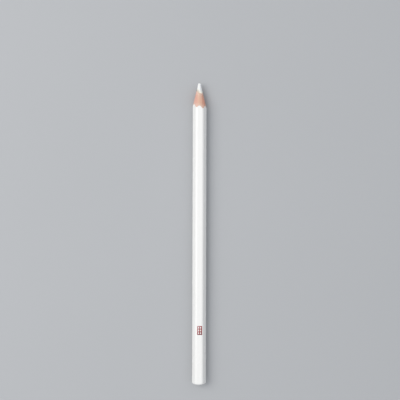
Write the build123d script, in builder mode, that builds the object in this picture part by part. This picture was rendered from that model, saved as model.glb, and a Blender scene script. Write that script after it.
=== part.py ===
from build123d import *
import os
from math import cos, radians, sqrt, tan

os.makedirs("parts", exist_ok=True)

# ---------------------------------------------------------------------------
# White wood-cased marking pencil for cloth, sharpened at one end.
#
# Frame, millimetres: the pencil lies on one of its six flats. +Y runs from
# the dipped blunt end to the point, +Z is up, and the origin is the middle of
# the flat it rests on. Two of the six corners point to -X and +X, and the
# glued seam of the wood casing lies level between them.
# ---------------------------------------------------------------------------

# ---- barrel ----------------------------------------------------------------
pencil_length = 175.0      # blunt end to point
across_flats = 7.40        # over the lacquer
corner_radius = 1.75       # softly rounded corners, over the lacquer
lacquer_film = 0.07        # white top coats
primer_film = 0.05         # undercoat on the wood
core_diameter = 3.60       # soft white marking core
bond_film = 0.05           # glue around the core, in the grooves
seam_film = 0.05           # glue between the two wood halves

# ---- sharpened point -------------------------------------------------------
cone_half_angle = 13.41
cone_overrun = 2.78        # how far past the blunt point the cone would end
cone_offset_x = -0.16      # the point was cut slightly off centre, towards -X
cone_offset_z = -0.18      # and slightly low
core_step = 0.08           # how far the soft core was ground below the wood, radially
worn_radius = 1.01         # where the blunted end of the core leaves its cone
nose_radius = 0.80         # edge of the blunt nose
nose_rise = 0.08           # how far the middle of the nose stands past its edge
nose_round = 0.12          # rounding of that edge

# ---- lacquer dip on the blunt end ------------------------------------------
dip_length = 5.0
dip_proud = 0.07           # how far the dip stands out past the lacquer
dip_rebate = 0.02          # how far the dip has bitten into the lacquer
dip_cap = 0.35             # thickness of the dip at the middle of the end
dip_crown = 1.15           # height of the outer dome at the corners
wood_crown = 1.05          # height of the turned wood end at the corners
dip_shoulder = 0.35        # rounding where the dome meets the six sides

# ---- foil patch ------------------------------------------------------------
mark_width = 2.9           # across the flat
mark_length = 5.2          # along the pencil
mark_from_end = 32.1       # middle of the patch to the blunt end
mark_shift = 0.30          # the patch sits a little off the middle of its flat, towards +X
mark_film = 0.03           # foil and its adhesive
mark_corner = 0.35
stitch_length = 1.14       # bare gaps in the foil, like a running stitch
stitch_width = 0.54
stitch_pitch = 1.56        # spacing along a row
stitch_rows = 1.16         # spacing of the two rows

# ---- turned profiles that trim the ends ------------------------------------
clear_radius = 6.0         # the point profiles open out to this radius
dome_reach = 5.0           # the end domes are drawn out to this radius
margin = 1.0               # how far trimming shapes run past what they trim

# ---- derived dimensions ----------------------------------------------------
axis_height = across_flats / 2
butt_y = -pencil_length / 2
wood_offset = -(lacquer_film + primer_film)
core_radius = core_diameter / 2
groove_radius = core_radius + bond_film
corner_stretch = 1 / cos(radians(30))
half_across_corners = axis_height * corner_stretch - corner_radius * (corner_stretch - 1)
cone_tan = tan(radians(cone_half_angle))
cone_end = pencil_length + cone_overrun

# sections stand on the blunt end and look along the pencil
butt_plane = Plane(origin=(0, butt_y, axis_height), x_dir=(1, 0, 0), z_dir=(0, 1, 0))
# turned shapes are drawn as (distance from the blunt end, radius)
turning_plane = Plane(origin=(0, butt_y, axis_height), x_dir=(0, 1, 0), z_dir=(0, 0, 1))
point_centre = (cone_offset_x, butt_y, axis_height + cone_offset_z)
point_plane = Plane(origin=point_centre, x_dir=(0, 1, 0), z_dir=(0, 0, 1))
pencil_axis = Axis((0, butt_y, axis_height), (0, 1, 0))
point_axis = Axis(point_centre, (0, 1, 0))
seam_top = Plane.XY.offset(axis_height + seam_film / 2)
seam_bottom = Plane.XY.offset(axis_height - seam_film / 2)
mid_plane = Plane.XY.offset(axis_height)


# ---- profiles --------------------------------------------------------------
def hexagon(outset, start=0):
    """Barrel section, outset from the lacquer surface, `start` from the blunt end."""
    with BuildSketch(butt_plane.offset(start)) as section:
        RegularPolygon(across_flats / 2 + outset, 6, major_radius=False)
        fillet(section.vertices(), corner_radius + outset)
    return section.sketch


def cap_radius(half_width, height):
    """Sphere radius of a shallow cap."""
    return (half_width**2 + height**2) / (2 * height)


def cap_drop(sphere_radius, distance):
    """How far a cap has fallen away at a distance from its axis."""
    return sphere_radius - sqrt(sphere_radius**2 - distance**2)


def domed_end(start, end, half_width, crown):
    """Half section, domed at `start`, that trims the blunt end when revolved."""
    sphere_radius = cap_radius(half_width, crown)
    rim = start + cap_drop(sphere_radius, dome_reach)
    middle = start + cap_drop(sphere_radius, dome_reach / 2)
    with BuildSketch(turning_plane) as profile:
        with BuildLine():
            Polyline((start, 0), (end, 0), (end, dome_reach), (rim, dome_reach))
            ThreePointArc((rim, dome_reach), (middle, dome_reach / 2), (start, 0))
        make_face()
    return profile.sketch


def sharpened_cone():
    """The cone a sharpener leaves on the wood and its coats."""
    with BuildSketch(point_plane) as profile:
        with BuildLine():
            Polyline(
                (cone_end, 0),
                (-margin, 0),
                (-margin, clear_radius),
                (cone_end - clear_radius / cone_tan, clear_radius),
                close=True,
            )
        make_face()
    return profile.sketch


def blunted_core_cone():
    """The core's slimmer cone: its end tapers less and stops in a nearly flat nose."""
    core_cone_end = cone_end - core_step / cone_tan
    nose_edge = (pencil_length - nose_rise, nose_radius)
    nose_tip = (pencil_length, 0)
    nose_drop = cap_drop(cap_radius(nose_radius, nose_rise), nose_radius / 2)
    with BuildSketch(point_plane) as profile:
        with BuildLine():
            Polyline(
                nose_tip,
                (-margin, 0),
                (-margin, clear_radius),
                (core_cone_end - clear_radius / cone_tan, clear_radius),
                (core_cone_end - worn_radius / cone_tan, worn_radius),
                nose_edge,
            )
            ThreePointArc(nose_edge, (pencil_length - nose_drop, nose_radius / 2), nose_tip)
        make_face()
        fillet(profile.vertices().sort_by_distance(nose_edge)[0], nose_round)
    return profile.sketch


wood_section = hexagon(wood_offset)
primer_section = hexagon(-lacquer_film)
rebate_section = hexagon(-dip_rebate)
cone_profile = sharpened_cone()
core_cone_profile = blunted_core_cone()
wood_end_profile = domed_end(dip_cap, pencil_length + margin, half_across_corners, wood_crown)
dip_end_profile = domed_end(0, dip_length + margin, half_across_corners + dip_proud, dip_crown)


def trim_ends(point_profile):
    """Cut the active part to its sharpened point and its domed blunt end."""
    revolve(point_profile, axis=point_axis, mode=Mode.INTERSECT)
    revolve(wood_end_profile, axis=pencil_axis, mode=Mode.INTERSECT)


# ---- pieces ----------------------------------------------------------------
def marking_core():
    with BuildPart() as core:
        with BuildSketch(butt_plane):
            Circle(core_radius)
        extrude(amount=pencil_length)
        trim_ends(core_cone_profile)
    return core.part


def casing_piece(*cuts):
    """Grooved wood section, cut down by (plane, side to keep) pairs.

    The two wood halves and the seam glue between them all come from this shape.
    """
    with BuildPart() as piece:
        extrude(wood_section, amount=pencil_length)
        with BuildSketch(butt_plane):
            Circle(groove_radius)
        extrude(amount=pencil_length, mode=Mode.SUBTRACT)
        trim_ends(cone_profile)
        for plane, side in cuts:
            split(bisect_by=plane, keep=side)
    return piece.part


def seam_glue(side):
    """Glue between the wood halves: Keep.BOTTOM is the -X side, Keep.TOP the +X side."""
    return casing_piece((seam_top, Keep.BOTTOM), (seam_bottom, Keep.TOP), (Plane.YZ, side))


def core_bond(side):
    """Glue around the core, in one of the two grooves."""
    with BuildPart() as bond:
        with BuildSketch(butt_plane):
            Circle(groove_radius)
            Circle(core_radius, mode=Mode.SUBTRACT)
        extrude(amount=pencil_length)
        trim_ends(core_cone_profile)
        split(bisect_by=mid_plane, keep=side)
    return bond.part


def primer_coat():
    with BuildPart() as coat:
        extrude(primer_section, amount=pencil_length)
        extrude(wood_section, amount=pencil_length, mode=Mode.SUBTRACT)
        trim_ends(cone_profile)
    return coat.part


def lacquer_coat():
    """White lacquer, with a shallow step where the dip covers it."""
    with BuildPart() as coat:
        extrude(rebate_section, amount=dip_length)
        extrude(hexagon_past_dip, amount=pencil_length - dip_length)
        extrude(primer_section, amount=pencil_length, mode=Mode.SUBTRACT)
        trim_ends(cone_profile)
    return coat.part


def end_dip():
    """Domed lacquer dip, hollowed by the barrel end it covers."""
    barrel_end_length = dip_length + 2  # runs out past the open end of the dip
    with BuildPart() as barrel_end:
        extrude(rebate_section, amount=barrel_end_length)
        revolve(wood_end_profile, axis=pencil_axis, mode=Mode.INTERSECT)

    with BuildPart() as dip:
        extrude(dip_section, amount=dip_length)
        revolve(dip_end_profile, axis=pencil_axis, mode=Mode.INTERSECT)
        fillet(dip.faces().sort_by(Axis.Y)[0].outer_wire().edges(), dip_shoulder)
        add(barrel_end.part, mode=Mode.SUBTRACT)
    return dip.part


def printed_mark():
    """Foil wrapped over the upper flat, with two rows of bare stitches."""
    with BuildPart() as mark:
        extrude(foil_outer, amount=mark_length)
        extrude(foil_inner, amount=mark_length, mode=Mode.SUBTRACT)
        with BuildSketch(mid_plane):
            with Locations((mark_shift, butt_y + mark_from_end)):
                RectangleRounded(mark_width, mark_length, mark_corner)
                with GridLocations(stitch_rows, stitch_pitch, 2, 3):
                    SlotOverall(stitch_length, stitch_width, rotation=90, mode=Mode.SUBTRACT)
        extrude(amount=axis_height + margin, mode=Mode.INTERSECT)
    return mark.part


# sections used by one piece each
hexagon_past_dip = hexagon(0, start=dip_length)
dip_section = hexagon(dip_proud)
mark_start = mark_from_end - mark_length / 2
foil_outer = hexagon(mark_film, start=mark_start)
foil_inner = hexagon(0, start=mark_start)

# ---- names and files -------------------------------------------------------
pieces = {
    "marking_core": marking_core(),
    "casing_half_top": casing_piece((seam_top, Keep.TOP)),
    "casing_half_bottom": casing_piece((seam_bottom, Keep.BOTTOM)),
    "seam_glue_left": seam_glue(Keep.BOTTOM),
    "seam_glue_right": seam_glue(Keep.TOP),
    "core_bond_top": core_bond(Keep.TOP),
    "core_bond_bottom": core_bond(Keep.BOTTOM),
    "primer_coat": primer_coat(),
    "lacquer_coat": lacquer_coat(),
    "end_dip": end_dip(),
    "printed_mark": printed_mark(),
}

for name, piece in pieces.items():
    piece.label = name
    export_step(piece, f"parts/{name}.step")
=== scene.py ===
import math

import bmesh
import bpy
import numpy as np
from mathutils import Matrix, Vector
from mathutils.geometry import delaunay_2d_cdt


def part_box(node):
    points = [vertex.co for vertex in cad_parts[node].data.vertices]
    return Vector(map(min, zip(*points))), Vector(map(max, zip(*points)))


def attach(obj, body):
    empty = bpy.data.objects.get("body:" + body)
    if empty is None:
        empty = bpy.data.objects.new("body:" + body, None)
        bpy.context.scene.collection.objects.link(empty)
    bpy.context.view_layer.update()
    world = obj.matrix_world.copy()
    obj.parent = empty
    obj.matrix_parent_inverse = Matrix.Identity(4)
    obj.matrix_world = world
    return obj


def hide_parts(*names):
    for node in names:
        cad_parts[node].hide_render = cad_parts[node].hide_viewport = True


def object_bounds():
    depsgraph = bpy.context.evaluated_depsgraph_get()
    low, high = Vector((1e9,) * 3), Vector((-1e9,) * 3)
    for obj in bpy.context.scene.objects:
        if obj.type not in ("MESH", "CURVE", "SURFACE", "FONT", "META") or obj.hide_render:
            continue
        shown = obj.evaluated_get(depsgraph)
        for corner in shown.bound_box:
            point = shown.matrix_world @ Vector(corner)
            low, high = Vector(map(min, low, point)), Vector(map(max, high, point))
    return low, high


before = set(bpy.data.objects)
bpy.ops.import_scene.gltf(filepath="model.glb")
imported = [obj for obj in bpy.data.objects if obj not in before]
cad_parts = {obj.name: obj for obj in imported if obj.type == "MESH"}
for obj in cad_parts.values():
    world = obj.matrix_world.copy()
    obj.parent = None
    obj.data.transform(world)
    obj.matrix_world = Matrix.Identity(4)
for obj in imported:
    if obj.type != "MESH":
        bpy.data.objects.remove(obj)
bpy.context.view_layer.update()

MM = 0.001
PI = math.pi

# ---------------------------------------------------------------------------
# Sizes taken from the CAD
# ---------------------------------------------------------------------------


def span(node):
    """Lowest and highest corner of a CAD piece, in millimetres."""
    low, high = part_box(node)
    return np.array(low) / MM, np.array(high) / MM


lacquer_lo, lacquer_hi = span("lacquer_coat")
core_lo, core_hi = span("marking_core")
dip_lo, dip_hi = span("end_dip")
mark_lo, mark_hi = span("printed_mark")
wood_hi = span("casing_half_top")[1]
wood_lo = span("casing_half_bottom")[0]
primer_lo, primer_hi = span("primer_coat")
bond_hi = span("core_bond_top")[1]
seam_lo, seam_hi = span("seam_glue_right")

butt_y = dip_lo[1]
length = core_hi[1] - butt_y
axis_z = float((lacquer_lo[2] + lacquer_hi[2]) / 2)

# half widths across the flats
half_flats = (lacquer_hi[2] - lacquer_lo[2]) / 2
half_primer = (primer_hi[2] - primer_lo[2]) / 2
half_wood = (wood_hi[2] - wood_lo[2]) / 2
# rounding of the corners, from the widths across the flats and across the corners
corner_r = ((lacquer_hi[0] - lacquer_lo[0]) / 2 - half_flats / math.cos(PI / 6)) / (
    1 - 1 / math.cos(PI / 6)
)
flat_half_width = (half_flats - corner_r) * math.tan(PI / 6)
seam_half = (seam_hi[2] - seam_lo[2]) / 2
dip_proud = (dip_hi[2] - dip_lo[2]) / 2 - half_flats
dip_len = dip_hi[1] - dip_lo[1]
mark_x, mark_y = float((mark_lo[0] + mark_hi[0]) / 2), float((mark_lo[1] + mark_hi[1]) / 2)
mark_half_x = float((mark_hi[0] - mark_lo[0]) / 2)
mark_half_y = float((mark_hi[1] - mark_lo[1]) / 2)
mark_thick = mark_hi[2] - axis_z - half_flats

# ---------------------------------------------------------------------------
# Sizes of the looks
# ---------------------------------------------------------------------------

CORE_R = 1.80
GROOVE_R = 1.85

# the sharpened cone: half angle, its axis off the barrel's, and its apex
CONE_TAN = math.tan(math.radians(13.41))
CONE_X, CONE_Z = -0.16, -0.18
cone_apex = length + 2.78
CORE_STEP = 0.08  # how far the core's cone lies inside the wood's
core_apex = cone_apex - CORE_STEP / CONE_TAN

# the blunted tip of the core: where it leaves the cone, and its domed nose
WORN_R, NOSE_R, NOSE_RISE = 1.01, 0.79, 0.10

# domed blunt ends of the wood and of the dip over it
WOOD_START, WOOD_RISE, DIP_RISE = 0.35, 1.05, 1.15

# where the finer rows of the meshes begin, short of the cut
COAT_FINE_FROM = 156.5
WOOD_FINE_FROM = 158.0
PRIMER_INSET = 0.001  # keeps the undercoat just under the lacquer

ARC_STEPS, FLAT_STEPS = 20, 24  # mesh columns on each corner and each flat

# the fixed sizes above suit only a CAD of this size
assert abs(length - 175) < 0.05 and abs(half_flats - 3.7) < 0.02
assert abs((core_hi[2] - core_lo[2]) / 2 - CORE_R) < 0.03
assert abs(bond_hi[2] - axis_z - GROOVE_R) < 0.03 and abs(corner_r - 1.75) < 0.05

# ---------------------------------------------------------------------------
# Repeatable noise
# ---------------------------------------------------------------------------


def lattice_value(ix, iy, iz, seed):
    """A fixed random value, -1 to 1, for each lattice point."""
    bits = (
        ix.astype(np.int64) * 374761393
        + iy.astype(np.int64) * 668265263
        + iz.astype(np.int64) * 2147483647
        + seed * 144269504
    ) & 0xFFFFFFFF
    bits = ((bits ^ (bits >> 13)) * 1274126177) & 0xFFFFFFFF
    bits = ((bits ^ (bits >> 16)) * 2246822519) & 0xFFFFFFFF
    bits = bits ^ (bits >> 15)
    return (bits & 0xFFFFFF) / float(0xFFFFFF) * 2 - 1


def value_noise(x, y, z, seed):
    """Smooth value noise, -1 to 1."""
    x, y, z = np.broadcast_arrays(
        np.asarray(x, float), np.asarray(y, float), np.asarray(z, float)
    )
    ix, iy, iz = np.floor(x), np.floor(y), np.floor(z)
    fades = [f * f * f * (f * (f * 6 - 15) + 10) for f in (x - ix, y - iy, z - iz)]
    total = 0
    for dx in (0, 1):
        weight_x = fades[0] if dx else 1 - fades[0]
        for dy in (0, 1):
            weight_y = fades[1] if dy else 1 - fades[1]
            for dz in (0, 1):
                weight_z = fades[2] if dz else 1 - fades[2]
                value = lattice_value(ix + dx, iy + dy, iz + dz, seed)
                total = total + weight_x * weight_y * weight_z * value
    return total


def layered_noise(x, y, z, octaves, seed):
    total, amp, norm = 0, 1.0, 0.0
    for i in range(octaves):
        freq = 2.0**i
        total = total + amp * value_noise(x * freq, y * freq, z * freq, seed + 17 * i)
        norm += amp
        amp *= 0.5
    return total / norm


def round_noise(theta, freq, seed, octaves=2, along=0.0):
    """Noise round the pencil that closes on itself."""
    return layered_noise(np.cos(theta) * freq, np.sin(theta) * freq, along, octaves, seed)


def smooth(x, start, end):
    t = np.clip((x - start) / (end - start), 0, 1)
    return t * t * (3 - 2 * t)


def lerp(start, end, t):
    return start * (1 - t) + end * t


def lerp_rows(start, end, count, power=1.0, with_end=True):
    """Rows from start to end; a power under 1 crowds them towards the end."""
    return [lerp(start, end, t) for t in np.linspace(0, 1, count, endpoint=with_end) ** power]


# ---------------------------------------------------------------------------
# Shapes of the pencil
# ---------------------------------------------------------------------------


def hex_radius(theta, half):
    """Radius of the barrel's rounded hexagon, drawn in or out to a half width across flats.

    Its corners are at 0, 60, 120 degrees.
    """
    rounding = corner_r - (half_flats - half)
    from_flat = np.mod(np.asarray(theta, float), PI / 3) - PI / 6
    flat = half / np.cos(from_flat)
    flat_end = (half - rounding) * math.tan(PI / 6)
    arc_centre = (half - rounding) / math.cos(PI / 6)
    from_corner = PI / 6 - np.abs(from_flat)
    corner = arc_centre * np.cos(from_corner) + np.sqrt(
        np.maximum(rounding**2 - (arc_centre * np.sin(from_corner)) ** 2, 0)
    )
    return np.where(half * np.tan(np.abs(from_flat)) <= flat_end, flat, corner)


def cone_at(out, theta, apex=cone_apex):
    """How far along the pencil the sharpened cone is at a radius from the barrel's axis."""
    from_cone_axis = np.sqrt(
        out**2
        + CONE_X**2
        + CONE_Z**2
        - 2 * out * (CONE_X * np.cos(theta) + CONE_Z * np.sin(theta))
    )
    return apex - from_cone_axis / CONE_TAN


def dome_radius(half_width, rise):
    """Radius of the sphere that rises so far over so wide a disc."""
    return (half_width**2 + rise**2) / (2 * rise)


half_corners = float(hex_radius(0.0, half_flats))
wood_dome = dome_radius(half_corners, WOOD_RISE)


def wood_end(out):
    """How far from the blunt end the turned end of the wood is at a radius."""
    return WOOD_START + wood_dome - np.sqrt(wood_dome**2 - out**2)


def column_angles():
    """Angles of the mesh columns: even steps along the flats and round the corners."""
    arc_centre = (half_flats - corner_r) / math.cos(PI / 6)
    angles = []
    for k in range(6):
        corner = k * PI / 3
        for i in range(ARC_STEPS):
            turn = corner - PI / 6 + (PI / 3) * i / ARC_STEPS
            x = arc_centre * math.cos(corner) + corner_r * math.cos(turn)
            z = arc_centre * math.sin(corner) + corner_r * math.sin(turn)
            angles.append(math.atan2(z, x))
        normal = corner + PI / 6
        for i in range(FLAT_STEPS):  # the flat after the corner
            side = -flat_half_width + 2 * flat_half_width * i / FLAT_STEPS
            x = half_flats * math.cos(normal) - side * math.sin(normal)
            z = half_flats * math.sin(normal) + side * math.cos(normal)
            angles.append(math.atan2(z, x))
    return np.unwrap(np.array(angles))


THETA = column_angles()
# columns of an upper half, with its two ends on the seam plane
END_CLEAR = 0.012
HALF = np.concatenate([[0.0], THETA[(THETA > END_CLEAR) & (THETA < PI - END_CLEAR)], [PI]])


def points(along, out, theta):
    along, out, theta = np.broadcast_arrays(along, out, theta)
    return np.stack([out * np.cos(theta), butt_y + along, axis_z + out * np.sin(theta)], axis=-1)


# ---------------------------------------------------------------------------
# Mesh helpers
# ---------------------------------------------------------------------------


def split_rows(rows, columns):
    """Two grids, along and out, from (along, out) rows; columns has one entry per column."""
    grids = np.array([np.broadcast_arrays(*row, columns)[:2] for row in rows])
    return grids[:, 0], grids[:, 1]


def loft(shape, wrap_rows, wrap_columns):
    """Quads over a grid of points."""
    rows, columns = shape[:2]
    faces = []
    for k in range(rows if wrap_rows else rows - 1):
        k2 = (k + 1) % rows
        for t in range(columns if wrap_columns else columns - 1):
            t2 = (t + 1) % columns
            faces.append(
                (k * columns + t, k * columns + t2, k2 * columns + t2, k2 * columns + t)
            )
    return faces


def make(name, node, verts, faces, mats, sharp_deg, face_mats=None):
    """A smooth object, from points in millimetres, that stands in for a CAD piece."""
    mesh = bpy.data.meshes.new(name)
    mesh.from_pydata([tuple(v) for v in np.asarray(verts) * MM], [], faces)
    for mat in mats:
        mesh.materials.append(mat)
    if face_mats is not None:
        mesh.polygons.foreach_set("material_index", np.asarray(face_mats, np.int32))
    bm = bmesh.new()
    bm.from_mesh(mesh)
    bmesh.ops.recalc_face_normals(bm, faces=bm.faces)
    bm.to_mesh(mesh)
    bm.free()
    mesh.polygons.foreach_set("use_smooth", np.ones(len(mesh.polygons), bool))
    mesh.set_sharp_from_angle(angle=math.radians(sharp_deg))
    mesh.update()
    ob = bpy.data.objects.new(name, mesh)
    bpy.context.scene.collection.objects.link(ob)
    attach(ob, "root")
    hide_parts(node)


def coat_piece(name, node, rows, outer_rows, cut_steps, mats):
    """A sleeve all round, from a closed path of rows; the second material is its cut edge."""
    grid = points(*split_rows(rows, THETA), THETA[None, :])
    row_mats = np.zeros(len(rows), int)
    row_mats[outer_rows - 1 : outer_rows - 1 + cut_steps] = 1
    make(
        name, node, grid.reshape(-1, 3), loft(grid.shape, True, True), mats,
        sharp_deg=30, face_mats=np.repeat(row_mats, len(THETA)),
    )


def section_piece(name, node, mat, along, out, theta):
    """Part of the way round, from a closed path of rows, with a face at each end."""
    grid = points(along, out, theta)
    rows, columns = grid.shape[:2]
    faces = loft(grid.shape, True, False)
    faces.append(tuple(k * columns for k in range(rows)))
    faces.append(tuple(k * columns + columns - 1 for k in reversed(range(rows))))
    make(name, node, grid.reshape(-1, 3), faces, [mat], sharp_deg=38)


def half_piece(name, node, mat, rows, gap, side):
    """An upper (side 1) or lower (side -1) half, its ends a gap off the seam plane."""
    along, out = split_rows(rows, HALF)
    theta = np.repeat(HALF[None, :], len(rows), 0)
    lift = np.arcsin(np.clip(gap / out, -1, 1))
    theta[:, 0] = lift[:, 0]
    theta[:, -1] = PI - lift[:, -1]
    section_piece(name, node, mat, along, out, side * theta)


def poled_piece(name, node, mat, grid, first_pole, last_pole, sharp_deg):
    """A closed form: rows of rings between two poles."""
    rows, columns = grid.shape[:2]
    verts = np.vstack([grid.reshape(-1, 3), first_pole, last_pole])
    first = rows * columns
    last = first + 1
    faces = loft(grid.shape, False, True)
    for t in range(columns):
        t2 = (t + 1) % columns
        faces.append((first, t2, t))
        faces.append((last, (rows - 1) * columns + t, (rows - 1) * columns + t2))
    make(name, node, verts, faces, [mat], sharp_deg)


# ---------------------------------------------------------------------------
# Material helpers
# ---------------------------------------------------------------------------

SHADER_INPUTS = {
    "color": "Base Color",
    "rough": "Roughness",
    "normal": "Normal",
    "spec": "Specular IOR Level",
    "coat": "Coat Weight",
    "coat_rough": "Coat Roughness",
    "sheen": "Sheen Weight",
    "sheen_rough": "Sheen Roughness",
    "sss": "Subsurface Weight",
}


def shade(tone, factors):
    """A tone times one factor, or one for each channel."""
    return tuple(float(c) for c in np.array(tone) * factors)


class Mat:
    """A node material, with coordinates in millimetres in the pencil's own frame."""

    def __init__(self, name):
        self.material = bpy.data.materials.new(name)
        self.material.use_nodes = True
        self.tree = self.material.node_tree
        self.tree.nodes.clear()
        output = self.node("OutputMaterial")
        self.shader = self.node("BsdfPrincipled")
        self.put(output.inputs["Surface"], self.shader.outputs["BSDF"])
        coords = self.node("TexCoord").outputs["Object"]
        to_mm = self.node("VectorMath", operation="SCALE")
        self.put(to_mm.inputs[0], coords)
        self.put(to_mm.inputs["Scale"], 1000.0)
        self.pos = to_mm.outputs["Vector"]

    def node(self, kind, **settings):
        node = self.tree.nodes.new("ShaderNode" + kind)
        for key, value in settings.items():
            setattr(node, key, value)
        return node

    def put(self, socket, value):
        """Link a socket, or set a plain value."""
        if isinstance(value, bpy.types.NodeSocket):
            self.tree.links.new(value, socket)
        elif isinstance(value, (tuple, list)) and socket.type == "RGBA" and len(value) == 3:
            socket.default_value = (*value, 1.0)
        else:
            socket.default_value = value

    def vec(self, op, first, second):
        node = self.node("VectorMath", operation=op)
        self.put(node.inputs[0], first)
        self.put(node.inputs[1], second)
        return node.outputs["Value" if op == "DOT_PRODUCT" else "Vector"]

    def calc(self, op, first, second=None):
        node = self.node("Math", operation=op)
        self.put(node.inputs[0], first)
        if second is not None:
            self.put(node.inputs[1], second)
        return node.outputs[0]

    def mul(self, first, second):
        return self.calc("MULTIPLY", first, second)

    def add(self, first, second, times=None):
        return self.calc("ADD", first, second if times is None else self.mul(second, times))

    def sub(self, first, second, times=None):
        return self.calc("SUBTRACT", first, second if times is None else self.mul(second, times))

    def inverse(self, value):
        return self.sub(1.0, value)

    def xyz(self):
        node = self.node("SeparateXYZ")
        self.put(node.inputs[0], self.pos)
        return node.outputs

    def across(self):
        """x and z from the barrel's axis."""
        x, y, z = self.xyz()
        return x, self.sub(z, axis_z)

    def x_and_radius(self):
        """x, and the distance from the barrel's axis."""
        x, z = self.across()
        return x, self.calc("SQRT", self.add(self.mul(x, x), self.mul(z, z)))

    def noise(self, vector=None, scale=1.0, detail=2.0, rough=0.5, stretch=None):
        vector = self.pos if vector is None else vector
        if stretch is not None:
            vector = self.vec("MULTIPLY", vector, stretch)
        node = self.node("TexNoise")
        self.put(node.inputs["Vector"], vector)
        node.inputs["Scale"].default_value = scale
        node.inputs["Detail"].default_value = detail
        node.inputs["Roughness"].default_value = rough
        node.inputs["Distortion"].default_value = 0.0
        return node.outputs[0]

    def spots(self, scale, over):
        """1 in the middle of scattered cells, falling to 0 over a span of distances."""
        node = self.node("TexVoronoi", feature="F1")
        self.put(node.inputs["Vector"], self.pos)
        node.inputs["Scale"].default_value = scale
        return self.ramp(node.outputs["Distance"], over=over, to=(1.0, 0.0))

    def rotated(self, vector, angles):
        node = self.node("VectorRotate", rotation_type="EULER_XYZ")
        node.inputs["Rotation"].default_value = angles
        self.put(node.inputs["Vector"], vector)
        return node.outputs[0]

    def ramp(self, value, over, to=(0.0, 1.0)):
        """A soft step between two values, as the input runs over a span."""
        node = self.node("MapRange", interpolation_type="SMOOTHSTEP")
        self.put(node.inputs["Value"], value)
        node.inputs["From Min"].default_value = over[0]
        node.inputs["From Max"].default_value = over[1]
        node.inputs["To Min"].default_value = to[0]
        node.inputs["To Max"].default_value = to[1]
        return node.outputs["Result"]

    def curve(self, value, stops):
        """A grey ramp through (position, value) stops."""
        node = self.node("ValToRGB")
        self.put(node.inputs[0], value)
        elements = node.color_ramp.elements
        for element, (place, grey) in zip(elements, (stops[0], stops[-1])):
            element.position = place
            element.color = (grey, grey, grey, 1)
        for place, grey in stops[1:-1]:
            elements.new(place).color = (grey, grey, grey, 1)
        return node.outputs[0]

    def tint(self, base, tone, mask, amount=None, kind="MIX"):
        """Blend a tone over the base where the mask is, by an amount."""
        node = self.node("Mix", data_type="RGBA", blend_type=kind)
        self.put(node.inputs[0], mask if amount is None else self.mul(mask, amount))
        self.put(node.inputs[6], base)
        self.put(node.inputs[7], tone)
        return node.outputs[2]

    def bump(self, *layers):
        """Bumps over one another, from (height, depth in mm) pairs."""
        normal = None
        for height, depth in layers:
            node = self.node("Bump")
            node.inputs["Strength"].default_value = 1.0
            node.inputs["Distance"].default_value = depth * MM
            self.put(node.inputs["Height"], height)
            if normal is not None:
                self.put(node.inputs["Normal"], normal)
            normal = node.outputs[0]
        return normal

    def finish(self, **values):
        for key, value in values.items():
            self.put(self.shader.inputs[SHADER_INPUTS[key]], value)
        return self.material


# ---------------------------------------------------------------------------
# Materials. Noise stretched little in y runs along the pencil; much, round it.
# ---------------------------------------------------------------------------


def lacquer_material(name, tone, gloss, peel_scale, peel_depth, grain_depth):
    mat = Mat(name)
    x, z = mat.across()
    angle = mat.calc("ARCTAN2", z, x)
    corner = mat.ramp(mat.calc("COSINE", mat.mul(angle, 6.0)), over=(0.2, 1.0))
    broad = mat.noise(stretch=(0.30, 0.035, 0.30))
    streak = mat.noise(detail=3.0, rough=0.55, stretch=(2.6, 0.03, 2.6))
    grain = mat.noise(rough=0.6, stretch=(5.5, 0.10, 5.5))
    peel = mat.noise(scale=peel_scale, rough=0.45)
    dust = mat.ramp(mat.noise(scale=2.9, detail=1.0, rough=0.3), over=(0.775, 0.815))

    # two sets of scratches, slanted differently
    unturned = mat.vec("MULTIPLY", mat.pos, (1.0, 1.0, 1.0))
    turned = mat.rotated(unturned, angles=(0.25, 0.2, 0.32))
    lines = mat.noise(turned, detail=1.0, stretch=(9.0, 0.22, 9.0))
    scratch_a = mat.ramp(lines, over=(0.70, 0.78))
    turned = mat.rotated(unturned, angles=(-0.3, 0.1, -0.9))
    lines = mat.noise(turned, detail=1.0, stretch=(7.0, 0.35, 7.0))
    scratch_b = mat.ramp(lines, over=(0.73, 0.80))
    scratch = mat.calc("MAXIMUM", scratch_a, scratch_b)

    patch = mat.ramp(mat.noise(detail=3.0, rough=0.6, stretch=(0.5, 0.12, 0.5)), over=(0.45, 0.68))
    wear = mat.noise(detail=4.0, rough=0.65, stretch=(1.4, 0.35, 1.4))
    rub = mat.mul(corner, mat.ramp(wear, over=(0.50, 0.72)))

    color = mat.tint(tone, shade(tone, (0.965, 0.968, 0.96)), broad, amount=0.35)
    color = mat.tint(color, shade(tone, 0.86), streak, amount=0.10)
    color = mat.tint(color, (0.60, 0.59, 0.56), rub, amount=0.22)
    color = mat.tint(color, (0.55, 0.54, 0.52), scratch, amount=0.12)
    color = mat.tint(color, (0.50, 0.48, 0.44), dust, amount=0.24)
    rough = mat.add(gloss, patch, times=0.10)
    rough = mat.add(rough, scratch, times=0.18)
    rough = mat.add(rough, rub, times=0.22)
    normal = mat.bump(
        (peel, peel_depth),
        (streak, 0.010),
        (grain, grain_depth),
        (mat.sub(dust, scratch, times=0.6), 0.002),
    )
    return mat.finish(
        color=color, rough=rough, normal=normal, spec=0.5, coat=0.14, coat_rough=0.10
    )


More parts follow.
